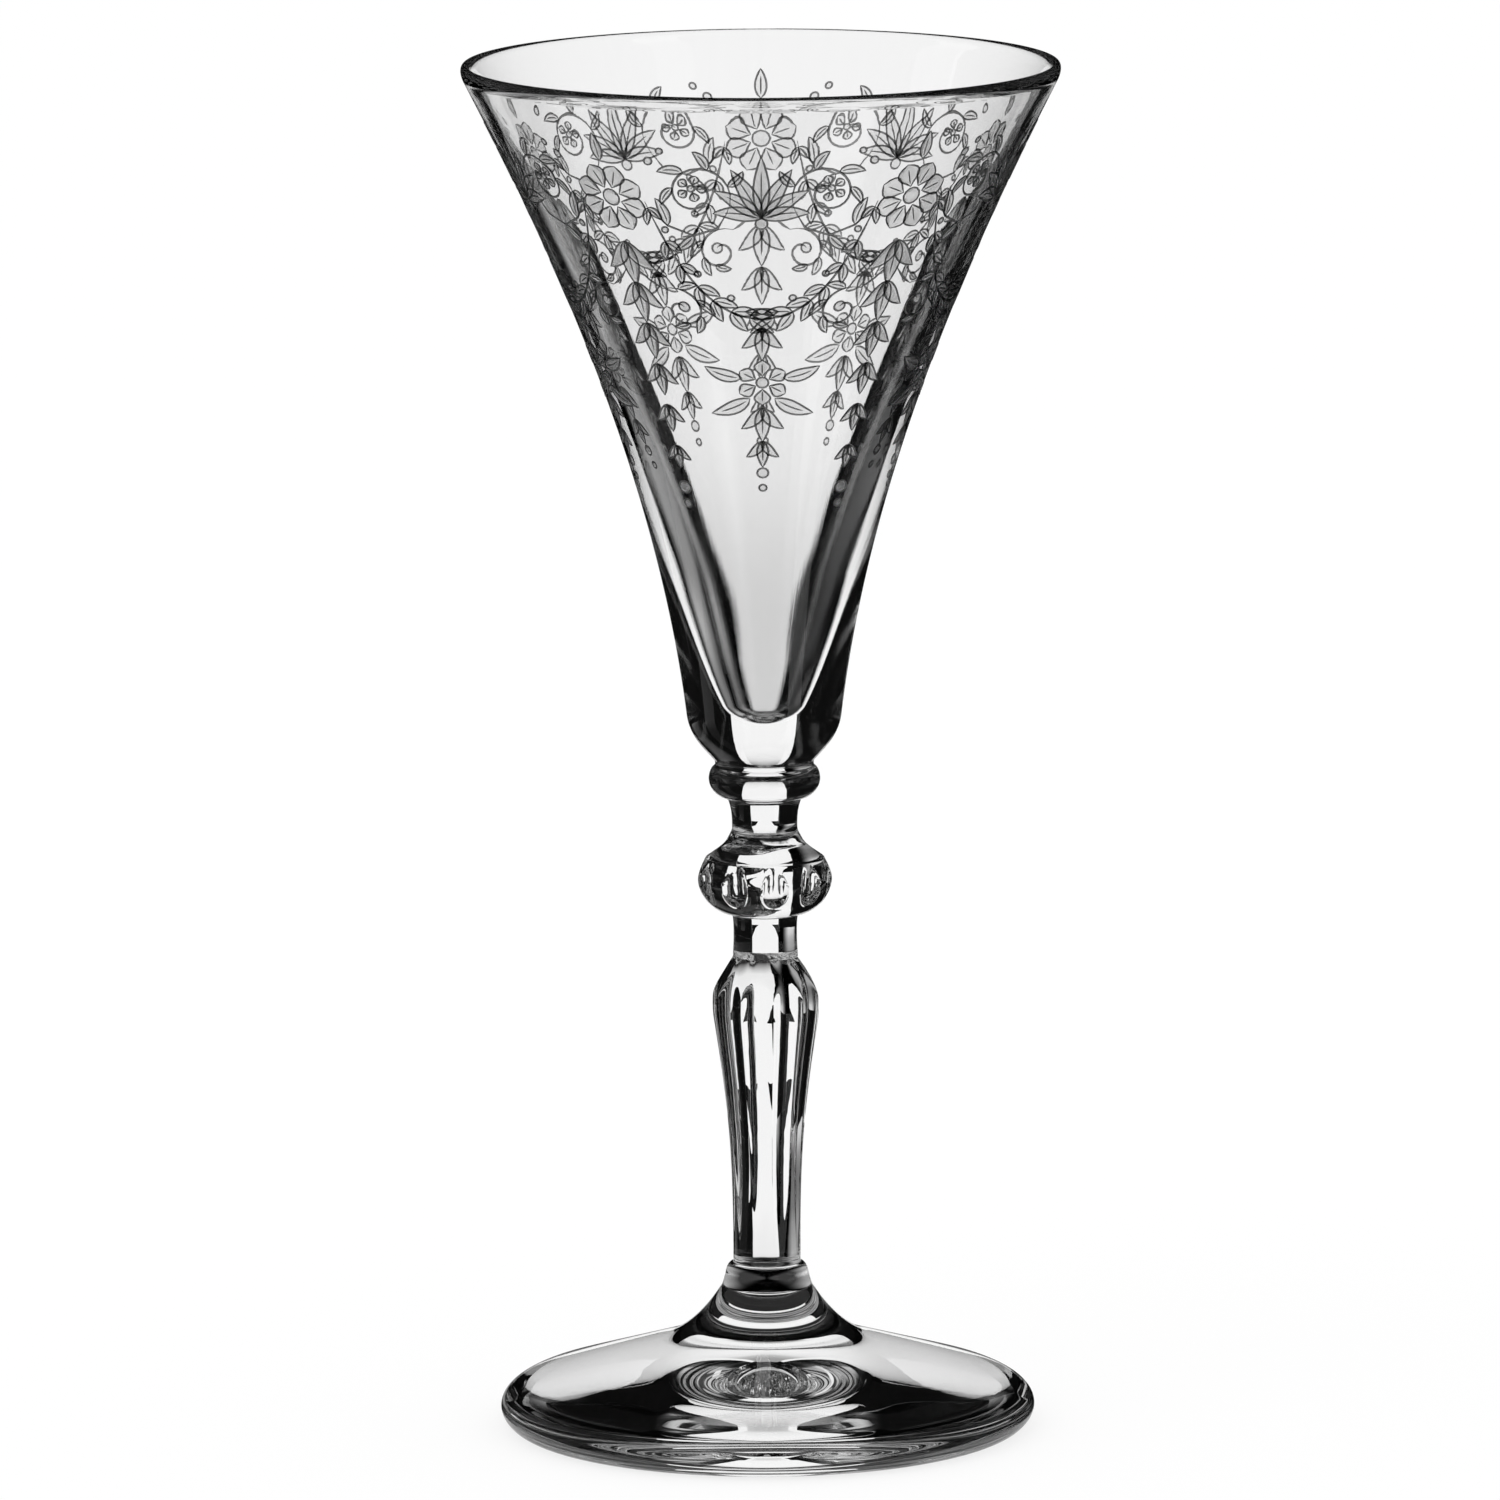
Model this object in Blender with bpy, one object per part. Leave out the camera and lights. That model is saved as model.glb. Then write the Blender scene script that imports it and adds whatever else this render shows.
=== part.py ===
"""Sherry glass: eight bits of clear glass, fused end to end on one upright axis.

Metres, +Z up, the glass stands on Z = 0. Each bit is modelled on its own from its lower seal upwards and
then set on the bit below it, with a small gap where the two are fused in the real glass.
"""

import math

import bmesh
import bpy
from mathutils import Vector
from mathutils.geometry import interpolate_bezier

# Fused seals: the gap that neighbours keep, and the radius that both share at each seal
SEAL_GAP = 0.0003
BOWL_SEAL_RADIUS = 0.00533
MERESE_SEAL_RADIUS = 0.00405
KNOP_TOP_SEAL_RADIUS = 0.00400
KNOP_BASE_SEAL_RADIUS = 0.00360
BALUSTER_SEAL_RADIUS = 0.00350
COLLAR_SEAL_RADIUS = 0.00366
FOOT_SEAL_RADIUS = 0.00487

# Foot
FOOT_HEIGHT = 0.0156
FOOT_RADIUS = 0.0290
FOOT_EDGE_HEIGHT = 0.0023
FOOT_SHOULDER_RADIUS = 0.0260
FOOT_SHOULDER_HEIGHT = 0.0051
FOOT_DOME_RADIUS = 0.0120
FOOT_DOME_HEIGHT = 0.0094
FOOT_DOME_FALL = 1.60
FOOT_CONE_FALL = 0.31
REST_RING_OUTER_RADIUS = 0.0266
REST_RING_INNER_RADIUS = 0.0250
UNDERSIDE_HOLLOW = 0.0042
UNDERSIDE_HOLLOW_POWER = 1.3

# Collar between the foot and the baluster
COLLAR_HEIGHT = 0.00247
COLLAR_SHOULDER_RADIUS = 0.00450
COLLAR_SHOULDER_HEIGHT = 0.00130

# Bearing that a flute's ridge and an oval cut of the knop share, so that the stem has a mirror plane
CUTS_TURN = math.radians(-9.5)

# Baluster and its flutes
BALUSTER_LENGTH = 0.0337
SHAFT_LENGTH = 0.0154
TAPER_RADIUS = 0.00426
TAPER_FLARE = 0.105
TAPER_LENGTH = 0.0110
BELLY_START_RADIUS = 0.00583
BELLY_FLARE = 0.165
BELLY_RADIUS = 0.00601
BELLY_HEIGHT = 0.0283
BALUSTER_TOP_FALL = 0.55
FLUTE_COUNT = 10
FLUTE_DEPTH = 0.00075
FLUTE_CUT_RADIUS = 0.0060
FLUTE_START_HEIGHT = 0.0012
FLUTE_TOP_HEIGHT = 0.0321
FLUTE_TOP_FLOOR_RADIUS = 0.00450

# Lower neck
LOWER_NECK_LENGTH = 0.00475
LOWER_NECK_RADIUS = 0.00342
LOWER_NECK_TOP_FLARE = 0.25

# Knop and its oval cuts
KNOP_HEIGHT = 0.00825
KNOP_RADIUS = 0.00725
KNOP_BELT_HEIGHT = 0.00375
KNOP_EDGE_RADIUS = 0.0064
KNOP_EDGE_HEIGHT = 0.0061
KNOP_CONE_FALL = 1.50
KNOP_NECK_FALL = 0.35
PRINTY_COUNT = 10
PRINTY_DEPTH = 0.00095
PRINTY_CUT_RADIUS = 0.0018
PRINTY_CUT_REACH = 0.0042
PRINTY_HEIGHT = 0.0030

# Upper neck
UPPER_NECK_LENGTH = 0.00445
UPPER_NECK_RADIUS = 0.00352
UPPER_NECK_WAIST_HEIGHT = 0.0012
UPPER_NECK_TOP_FLARE = 0.45
UPPER_NECK_BASE_FLARE = 0.60

# Merese
MERESE_HEIGHT = 0.00405
MERESE_RADIUS = 0.00602
MERESE_BELT_HEIGHT = 0.00205
MERESE_GROOVE_HEIGHT = 0.00345

# Bowl
BOWL_HEIGHT = 0.07573
RIM_RADIUS = 0.0323
LIP_THICKNESS = 0.0013
LIP_HEIGHT = 0.0018
BOWL_BASE_RADIUS = 0.00835
BOWL_BASE_HEIGHT = 0.0050
BOWL_BASE_FLARE = 0.121
BOWL_LIP_FLARE = 0.51
CAVITY_FLOOR = 0.0047
CAVITY_TIP_RADIUS = 0.0031
CAVITY_TIP_FLARE = 0.33
CAVITY_WAIST_RADIUS = 0.00725
CAVITY_WAIST_HEIGHT = 0.0222
CAVITY_WAIST_FLARE = 0.35

# Mesh fineness
WIDE_SEGMENTS = 48
STEM_SEGMENTS = 40
FLUTE_SEGMENTS = 8
PRINTY_SEGMENTS = 14

# Finish of the glass
GLASS_COLOUR = (0.93, 0.95, 0.95, 1.0)
GLASS_ROUGHNESS = 0.03
GLASS_INDEX = 1.52


def clear_scene():
    for found in list(bpy.data.objects):
        bpy.data.objects.remove(found)


def glass_material(piece_name):
    material = bpy.data.materials.new(piece_name + "_glass")
    material.use_nodes = True
    shader = material.node_tree.nodes["Principled BSDF"]
    shader.inputs["Base Color"].default_value = GLASS_COLOUR
    shader.inputs["Roughness"].default_value = GLASS_ROUGHNESS
    shader.inputs["Metallic"].default_value = 0.0
    shader.inputs["IOR"].default_value = GLASS_INDEX
    shader.inputs["Transmission Weight"].default_value = 1.0
    return material


def new_piece(name, mesh, base_height):
    piece = bpy.data.objects.new(name, mesh)
    bpy.context.scene.collection.objects.link(piece)
    piece.location.z = base_height
    mesh.materials.append(glass_material(name))
    return piece


def bezier(start, start_handle, end_handle, end, steps):
    """Points (radius, height) along a Bezier arc, without its first point."""
    corners = [Vector((x, z, 0.0)) for x, z in (start, start_handle, end_handle, end)]
    return [(p.x, p.y) for p in interpolate_bezier(*corners, steps + 1)[1:]]


def level_to_upright(start, end, steps):
    """A quarter round that leaves its start level and reaches its end upright."""
    middle = ((start[0] + end[0]) / 2, (start[1] + end[1]) / 2)
    return bezier(start, (middle[0], start[1]), (end[0], middle[1]), end, steps)


def upright_to_level(start, end, steps):
    """A quarter round that leaves its start upright and reaches its end level."""
    middle = ((start[0] + end[0]) / 2, (start[1] + end[1]) / 2)
    return bezier(start, (start[0], middle[1]), (middle[0], end[1]), end, steps)


def cubic(start, start_value, start_slope, end, end_value, end_slope, at):
    """A smooth value between two ends that each have a value and a slope."""
    span = end - start
    t = (at - start) / span
    return (
        start_value * (1 + 2 * t) * (1 - t) ** 2
        + start_slope * span * t * (1 - t) ** 2
        + end_value * t * t * (3 - 2 * t)
        + end_slope * span * t * t * (t - 1)
    )


def flare(start, start_slope, end, end_slope, steps):
    """Points (radius, height) whose radius runs smoothly with height, without the first point."""
    points = []
    for step in range(1, steps + 1):
        height = start[1] + (end[1] - start[1]) * step / steps
        radius = cubic(start[1], start[0], start_slope, end[1], end[0], end_slope, height)
        points.append((radius, height))
    return points


def turned(name, outline, base_height, segments):
    """A turned piece. Its outline runs from the axis at the top, down the outer side, to the axis again."""
    mesh = bpy.data.meshes.new(name)
    points = [(radius, 0.0, height) for radius, height in outline]
    mesh.from_pydata(points, [(i, i + 1) for i in range(len(points) - 1)], [])
    piece = new_piece(name, mesh, base_height)
    screw = piece.modifiers.new("turning", "SCREW")
    screw.axis = "Z"
    screw.angle = 2 * math.pi
    screw.steps = segments
    screw.render_steps = segments
    screw.use_merge_vertices = True
    screw.merge_threshold = 0.00001
    screw.use_smooth_shade = True
    return piece


def solid_outline(seal_top, side, seal_base):
    """The whole outline of a solid bit, from its top seal (radius, height) to its lower seal."""
    return [(0.0, seal_top[1]), seal_top, *side, seal_base, (0.0, seal_base[1])]


def make_foot(base_height):
    seal = (FOOT_SEAL_RADIUS, FOOT_HEIGHT - SEAL_GAP)
    dome = (FOOT_DOME_RADIUS, FOOT_DOME_HEIGHT)
    shoulder = (FOOT_SHOULDER_RADIUS, FOOT_SHOULDER_HEIGHT)
    widest = (FOOT_RADIUS, FOOT_EDGE_HEIGHT)
    ring_outer = (REST_RING_OUTER_RADIUS, 0.0)
    ring_inner = (REST_RING_INNER_RADIUS, 0.0)
    flat = [(height, radius) for radius, height in (seal, dome, shoulder)]
    neck = flare(flat[0], -FOOT_DOME_FALL, flat[1], -FOOT_CONE_FALL, 7)
    cone = flare(flat[1], -FOOT_CONE_FALL, flat[2], -FOOT_CONE_FALL, 3)
    edge_reach = (FOOT_RADIUS - FOOT_SHOULDER_RADIUS) / 2
    upper_edge = bezier(
        shoulder,
        (shoulder[0] + edge_reach, shoulder[1] - edge_reach * FOOT_CONE_FALL),
        (widest[0], (widest[1] + shoulder[1]) / 2),
        widest,
        4,
    )
    lower_edge = upright_to_level(widest, ring_outer, 4)
    hollow = []
    for step in range(1, 7):
        out = 1 - step / 6
        rise = UNDERSIDE_HOLLOW * (1 - out**UNDERSIDE_HOLLOW_POWER)
        hollow.append((REST_RING_INNER_RADIUS * out, rise))
    top = [(radius, height) for height, radius in neck + cone]
    outline = [(0.0, seal[1]), seal, *top, *upper_edge, *lower_edge, ring_inner, *hollow]
    return turned("foot", outline, base_height, WIDE_SEGMENTS)


def make_collar(base_height):
    top = (COLLAR_SEAL_RADIUS, COLLAR_HEIGHT - SEAL_GAP)
    shoulder = (COLLAR_SHOULDER_RADIUS, COLLAR_SHOULDER_HEIGHT)
    base = (FOOT_SEAL_RADIUS, 0.0)
    rounding = level_to_upright(top, shoulder, 4)
    return turned("base_collar", solid_outline(top, rounding, base), base_height, STEM_SEGMENTS)


def baluster_radius(height):
    """The baluster's outer radius at a height above its lower seal."""
    taper = SHAFT_LENGTH + TAPER_LENGTH
    if height <= SHAFT_LENGTH:
        return cubic(0.0, COLLAR_SEAL_RADIUS, 0.0, SHAFT_LENGTH, TAPER_RADIUS, TAPER_FLARE, height)
    if height <= taper:
        return cubic(
            SHAFT_LENGTH, TAPER_RADIUS, TAPER_FLARE, taper, BELLY_START_RADIUS, BELLY_FLARE, height
        )
    if height <= BELLY_HEIGHT:
        return cubic(taper, BELLY_START_RADIUS, BELLY_FLARE, BELLY_HEIGHT, BELLY_RADIUS, 0.0, height)
    return cubic(
        BELLY_HEIGHT,
        BELLY_RADIUS,
        0.0,
        BALUSTER_LENGTH,
        BALUSTER_SEAL_RADIUS,
        -BALUSTER_TOP_FALL,
        height,
    )


def flute_floor_radius(height):
    """The distance from the axis to the deepest line of a flute."""
    if height <= BELLY_HEIGHT:
        share = (height - FLUTE_START_HEIGHT) / (BELLY_HEIGHT - FLUTE_START_HEIGHT)
        return baluster_radius(height) - FLUTE_DEPTH * max(share, 0.0)
    return cubic(
        BELLY_HEIGHT,
        BELLY_RADIUS - FLUTE_DEPTH,
        0.0,
        FLUTE_TOP_HEIGHT,
        FLUTE_TOP_FLOOR_RADIUS,
        -BALUSTER_TOP_FALL,
        height,
    )


def fluted_radius(height, angle):
    """The radius at one height and angle: the body, or the round flute cut into it, whichever is less."""
    body = baluster_radius(height)
    if height > FLUTE_TOP_HEIGHT:
        return body
    pitch = 2 * math.pi / FLUTE_COUNT
    aside = (angle - CUTS_TURN) % pitch - pitch / 2
    centre = flute_floor_radius(height) + FLUTE_CUT_RADIUS
    reach = FLUTE_CUT_RADIUS**2 - (centre * math.sin(aside)) ** 2
    if reach <= 0:
        return body
    return min(body, centre * math.cos(aside) - math.sqrt(reach))


def make_baluster(base_height):
    top = BALUSTER_LENGTH - SEAL_GAP
    lower_rows = [BELLY_HEIGHT * step / 12 for step in range(12)]
    upper_rows = [BELLY_HEIGHT + (top - BELLY_HEIGHT) * step / 8 for step in range(9)]
    around = FLUTE_COUNT * FLUTE_SEGMENTS
    shape = bmesh.new()
    rings = []
    for height in lower_rows + upper_rows:
        ring = []
        for step in range(around):
            angle = CUTS_TURN + 2 * math.pi * step / around
            radius = fluted_radius(height, angle)
            ring.append(shape.verts.new((radius * math.cos(angle), radius * math.sin(angle), height)))
        rings.append(ring)
    for lower, upper in zip(rings, rings[1:]):
        for step in range(around):
            beside = (step + 1) % around
            shape.faces.new((lower[step], lower[beside], upper[beside], upper[step]))
    shape.faces.new(list(reversed(rings[0])))
    shape.faces.new(rings[-1])
    mesh = bpy.data.meshes.new("fluted_baluster")
    shape.to_mesh(mesh)
    shape.free()
    mesh.shade_smooth()
    mesh.set_sharp_from_angle(angle=math.radians(35))
    return new_piece("fluted_baluster", mesh, base_height)


def make_lower_neck(base_height):
    top = (KNOP_BASE_SEAL_RADIUS, LOWER_NECK_LENGTH - SEAL_GAP)
    base = (BALUSTER_SEAL_RADIUS, 0.0)
    waist = (LOWER_NECK_RADIUS, LOWER_NECK_LENGTH / 2)
    upper = flare(top, LOWER_NECK_TOP_FLARE, waist, 0.0, 4)
    lower = flare(waist, 0.0, base, 0.0, 2)[:-1]
    return turned("lower_neck", solid_outline(top, upper + lower, base), base_height, STEM_SEGMENTS)


def make_printy_cutter(index, base_height):
    shape = bmesh.new()
    bmesh.ops.create_uvsphere(
        shape, u_segments=2 * PRINTY_SEGMENTS, v_segments=PRINTY_SEGMENTS, radius=PRINTY_CUT_RADIUS
    )
    mesh = bpy.data.meshes.new("printy_cutter")
    shape.to_mesh(mesh)
    shape.free()
    cutter = bpy.data.objects.new(f"printy_cutter_{index:02d}", mesh)
    bpy.context.scene.collection.objects.link(cutter)
    angle = CUTS_TURN + 2 * math.pi * index / PRINTY_COUNT
    reach = KNOP_RADIUS - PRINTY_DEPTH + PRINTY_CUT_RADIUS
    cutter.location = (
        reach * math.cos(angle),
        reach * math.sin(angle),
        base_height + PRINTY_HEIGHT,
    )
    cutter.rotation_euler.z = angle
    cutter.scale.z = PRINTY_CUT_REACH / PRINTY_CUT_RADIUS
    cutter.hide_render = True
    cutter.display_type = "WIRE"
    return cutter


def make_knop(base_height):
    top = (KNOP_TOP_SEAL_RADIUS, KNOP_HEIGHT - SEAL_GAP)
    edge = (KNOP_EDGE_RADIUS, KNOP_EDGE_HEIGHT)
    belt = (KNOP_RADIUS, KNOP_BELT_HEIGHT)
    base = (KNOP_BASE_SEAL_RADIUS, 0.0)
    cone = flare(top, -KNOP_NECK_FALL, edge, -KNOP_CONE_FALL, 4)
    upper_belt = bezier(
        edge,
        ((2 * edge[0] + belt[0]) / 3, (3 * edge[1] + belt[1]) / 4),
        (belt[0], (edge[1] + 2 * belt[1]) / 3),
        belt,
        4,
    )
    under = upright_to_level(belt, base, 7)[:-1]
    outline = solid_outline(top, cone + upper_belt + under, base)
    knop = turned("knop", outline, base_height, STEM_SEGMENTS)
    for index in range(PRINTY_COUNT):
        cut = knop.modifiers.new(f"printy_{index:02d}", "BOOLEAN")
        cut.operation = "DIFFERENCE"
        cut.solver = "EXACT"
        cut.object = make_printy_cutter(index, base_height)
    return knop


def make_upper_neck(base_height):
    top = (MERESE_SEAL_RADIUS, UPPER_NECK_LENGTH - SEAL_GAP)
    waist = (UPPER_NECK_RADIUS, UPPER_NECK_WAIST_HEIGHT)
    base = (KNOP_TOP_SEAL_RADIUS, 0.0)
    upper = flare(top, UPPER_NECK_TOP_FLARE, waist, 0.0, 5)
    lower = flare(waist, 0.0, base, -UPPER_NECK_BASE_FLARE, 3)[:-1]
    return turned("upper_neck", solid_outline(top, upper + lower, base), base_height, STEM_SEGMENTS)


def make_merese(base_height):
    top = (BOWL_SEAL_RADIUS, MERESE_HEIGHT - SEAL_GAP)
    groove = (BOWL_SEAL_RADIUS, MERESE_GROOVE_HEIGHT)
    belt = (MERESE_RADIUS, MERESE_BELT_HEIGHT)
    base = (MERESE_SEAL_RADIUS, 0.0)
    upper = level_to_upright(groove, belt, 5)
    lower = upright_to_level(belt, base, 6)[:-1]
    outline = solid_outline(top, [groove, *upper, *lower], base)
    return turned("merese", outline, base_height, STEM_SEGMENTS)


def make_bowl(base_height):
    tip_lean = math.atan(CAVITY_TIP_FLARE)
    tip_centre = CAVITY_FLOOR + CAVITY_TIP_RADIUS
    tip = []
    for step in range(6):
        lean = (math.pi / 2 - tip_lean) * step / 5
        tip.append((CAVITY_TIP_RADIUS * math.sin(lean), tip_centre - CAVITY_TIP_RADIUS * math.cos(lean)))
    waist = (CAVITY_WAIST_RADIUS, CAVITY_WAIST_HEIGHT)
    lip_base = BOWL_HEIGHT - LIP_HEIGHT
    lip_outer = (RIM_RADIUS - BOWL_LIP_FLARE * LIP_HEIGHT / 2, lip_base)
    lip_inner = (lip_outer[0] - LIP_THICKNESS, lip_base)
    lip_top = (RIM_RADIUS - LIP_THICKNESS / 2, BOWL_HEIGHT)
    lower_wall = flare(tip[-1], CAVITY_TIP_FLARE, waist, CAVITY_WAIST_FLARE, 6)
    upper_wall = flare(waist, CAVITY_WAIST_FLARE, lip_inner, BOWL_LIP_FLARE, 8)
    lip_inside = bezier(
        lip_inner,
        (lip_inner[0] + BOWL_LIP_FLARE * LIP_HEIGHT / 2, lip_base + LIP_HEIGHT / 2),
        (lip_top[0] - LIP_THICKNESS / 3, BOWL_HEIGHT),
        lip_top,
        3,
    )
    lip_outside = bezier(
        lip_top,
        (lip_top[0] + LIP_THICKNESS / 2, BOWL_HEIGHT),
        (RIM_RADIUS, BOWL_HEIGHT - LIP_HEIGHT / 2),
        lip_outer,
        3,
    )
    base_edge = (BOWL_BASE_RADIUS, BOWL_BASE_HEIGHT)
    seal = (BOWL_SEAL_RADIUS, 0.0)
    outer_wall = flare(lip_outer, BOWL_LIP_FLARE, base_edge, BOWL_BASE_FLARE, 12)
    shoulder = bezier(
        base_edge,
        (base_edge[0] - BOWL_BASE_FLARE * base_edge[1] / 2, base_edge[1] / 2),
        ((3 * seal[0] + base_edge[0]) / 4, base_edge[1] / 5),
        seal,
        6,
    )
    outline = [*tip, *lower_wall, *upper_wall, *lip_inside, *lip_outside]
    outline += [*outer_wall, *shoulder, (0.0, 0.0)]
    return turned("bowl", outline, base_height, WIDE_SEGMENTS)


def build():
    clear_scene()
    stack = (
        (make_foot, FOOT_HEIGHT),
        (make_collar, COLLAR_HEIGHT),
        (make_baluster, BALUSTER_LENGTH),
        (make_lower_neck, LOWER_NECK_LENGTH),
        (make_knop, KNOP_HEIGHT),
        (make_upper_neck, UPPER_NECK_LENGTH),
        (make_merese, MERESE_HEIGHT),
        (make_bowl, BOWL_HEIGHT),
    )
    level = 0.0
    for make, height in stack:
        make(level)
        level += height


build()
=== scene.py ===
"""Looks of the sherry glass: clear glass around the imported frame, an etched frieze, and a bright studio.

Shapes are worked out in millimetres, as (radius, height) outlines around the upright axis, and turned into
meshes in metres. The front of the glass, towards the camera, is -Y.
"""

import math

import bpy
import numpy as np
from mathutils import Matrix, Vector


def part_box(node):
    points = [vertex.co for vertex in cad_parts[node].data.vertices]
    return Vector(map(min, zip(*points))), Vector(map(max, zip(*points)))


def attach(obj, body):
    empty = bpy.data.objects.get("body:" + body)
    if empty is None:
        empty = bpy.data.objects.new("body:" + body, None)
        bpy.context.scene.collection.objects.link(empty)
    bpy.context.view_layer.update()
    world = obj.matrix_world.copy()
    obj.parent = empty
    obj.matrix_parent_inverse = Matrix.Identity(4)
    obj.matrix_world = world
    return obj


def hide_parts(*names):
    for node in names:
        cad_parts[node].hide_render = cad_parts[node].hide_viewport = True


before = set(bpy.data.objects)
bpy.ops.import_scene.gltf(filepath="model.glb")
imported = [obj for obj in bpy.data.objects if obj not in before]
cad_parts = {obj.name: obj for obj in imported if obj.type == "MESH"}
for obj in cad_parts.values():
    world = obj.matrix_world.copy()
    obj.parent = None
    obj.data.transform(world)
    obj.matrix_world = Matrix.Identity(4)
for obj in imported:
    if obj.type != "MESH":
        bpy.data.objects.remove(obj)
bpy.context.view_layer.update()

MM = 0.001
FRONT = -math.pi / 2

# Camera, from the ellipses of the rim and the foot in the photo
CAMERA_DISTANCE = 1.480
CAMERA_HEIGHT = 0.3236
CAMERA_PITCH = math.radians(9.56)
CAMERA_ROLL = 0.0055
CAMERA_LENS = 333.6
SENSOR_WIDTH = 36.0
PHOTO_SIDE = 1500
PHOTO_AXIS_X = 764.5
CLIP_START = 0.05
CLIP_END = 100.0

# Mesh fineness: steps round a piece and along each part of an outline, and the most that a kept outline
# may turn or run between two points
ROUND_STEPS = 240
FLUTED_STEPS = 360
ARC_STEPS = 48
FLARE_STEPS = 96
TIP_STEPS = 32
HOLLOW_STEPS = 64
SAMPLE_SPACING = 0.02
MOST_TURN = math.radians(3.0)
MOST_RUN = 1.2
EDGE_SOFTNESS = 0.10
SHARP_ANGLE = math.radians(40)

# Seal radii, shared by the two bits that meet there
BOWL_SEAL_RADIUS = 5.33
MERESE_SEAL_RADIUS = 4.05
KNOP_TOP_SEAL_RADIUS = 4.00
KNOP_BASE_SEAL_RADIUS = 3.60
BALUSTER_SEAL_RADIUS = 3.50
COLLAR_SEAL_RADIUS = 3.66
FOOT_SEAL_RADIUS = 4.87

# Foot
FOOT_EDGE_HEIGHT = 2.3
FOOT_SHOULDER = (26.0, 5.1)
FOOT_DOME = (12.0, 9.4)
FOOT_DOME_FALL = 1.60
FOOT_CONE_FALL = 0.31
REST_RING_OUTER_RADIUS = 26.6
REST_RING_INNER_RADIUS = 25.0
UNDERSIDE_HOLLOW = 4.2
UNDERSIDE_HOLLOW_POWER = 1.3

# Collar
COLLAR_SHOULDER = (4.50, 1.30)

# Bearing that a flute's ridge and an oval cut of the knop share
CUTS_TURN = math.radians(-9.5)

# Baluster and its flutes
SHAFT_LENGTH = 15.4
TAPER_RADIUS = 4.26
TAPER_FLARE = 0.105
TAPER_LENGTH = 11.0
BELLY_START_RADIUS = 5.83
BELLY_FLARE = 0.165
BELLY_RADIUS = 6.01
BELLY_HEIGHT = 28.3
BALUSTER_TOP_FALL = 0.55
FLUTE_COUNT = 10
FLUTE_DEPTH = 0.75
FLUTE_CUT_RADIUS = 6.0
FLUTE_START_HEIGHT = 1.2
FLUTE_TOP_HEIGHT = 32.1
FLUTE_TOP_FLOOR_RADIUS = 4.50
FLUTE_SOFTNESS = 0.10

# Lower neck
LOWER_NECK_RADIUS = 3.42
LOWER_NECK_TOP_FLARE = 0.25

# Knop and its oval cuts
KNOP_RADIUS = 7.25
KNOP_BELT_HEIGHT = 3.75
KNOP_EDGE = (6.4, 6.1)
KNOP_CONE_FALL = 1.50
KNOP_NECK_FALL = 0.35
PRINTY_COUNT = 10
PRINTY_DEPTH = 0.95
PRINTY_CUT_RADIUS = 1.8
PRINTY_CUT_REACH = 4.2
PRINTY_HEIGHT = 3.0
PRINTY_SOFTNESS = 0.06

# Upper neck
UPPER_NECK_RADIUS = 3.52
UPPER_NECK_WAIST_HEIGHT = 1.2
UPPER_NECK_TOP_FLARE = 0.45
UPPER_NECK_BASE_FLARE = 0.60

# Merese
MERESE_RADIUS = 6.02
MERESE_BELT_HEIGHT = 2.05
MERESE_GROOVE_HEIGHT = 3.45

# Bowl
RIM_RADIUS = 32.3
LIP_THICKNESS = 1.3
LIP_HEIGHT = 1.8
BOWL_BASE = (8.35, 5.0)
BOWL_BASE_FLARE = 0.121
BOWL_LIP_FLARE = 0.51
CAVITY_FLOOR = 4.7
CAVITY_TIP_RADIUS = 3.1
CAVITY_TIP_FLARE = 0.33
CAVITY_WAIST = (7.25, 22.2)
CAVITY_WAIST_FLARE = 0.35

# Etched frieze: repeats round the bowl, and the widths and relief of its strokes
FRIEZE_REPEATS = 5
FRIEZE_LEVEL = 134.0
FRIEZE_SCALE = 1.45
LINE_WIDTH = 0.28
RIB_WIDTH = 0.17
LINE_RELIEF = 0.05
FILL_RELIEF = 0.02
STROKE_ROOT = -0.02
STROKE_FLAT_SHARE = 0.55
SLOPE_REACH = 0.2

# Finish of the clear glass, and of the etched lines and fills as lowest and highest tint and roughness. The
# grey tint of the etched lines, and the fainter grey of the fills, is painted shade; the spread between
# lowest and highest is the grain's own tone
GLASS_INDEX = 1.52
LEAST_TINT = 0.97
MOST_ROUGHNESS = 0.015
WAVE_DEPTH = 0.0002
# the lines' tint of 0.25 to 0.5 is painted shade, and so is the fills' fainter tint of 0.88 to 1.0
LINE_SHADE_AND_FINISH = (0.25, 0.5, 0.3, 0.5)
FILL_SHADE_AND_FINISH = (0.88, 1.0, 0.12, 0.25)
GRAIN_SCALE = 2500.0
GRAIN_BUMP = 0.25
GRAIN_DEPTH = 0.00005
# Fineness and strength of the surface's faint waves. On the bowl they run up the wall, and are given per
# unit circle round the axis and per metre along it. On the stem and the foot they are given per metre
BOWL_STREAKS = (70.0, 70.0, 30.0)
OUTSIDE_BUMP = 0.004
INSIDE_BUMP = 0.05
STEM_WAVES = (300.0, 300.0, 120.0)
STEM_BUMP = 0.2
FOOT_WAVES = (250.0, 250.0, 250.0)
FOOT_BUMP = 0.01
# Darkening and waves inside the bowl: heights where they are strongest and where they end, and the share of
# the glass's colour that is kept where it is darkest
INSIDE_DARKENING = (88.0, 112.0, 0.75)

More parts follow.
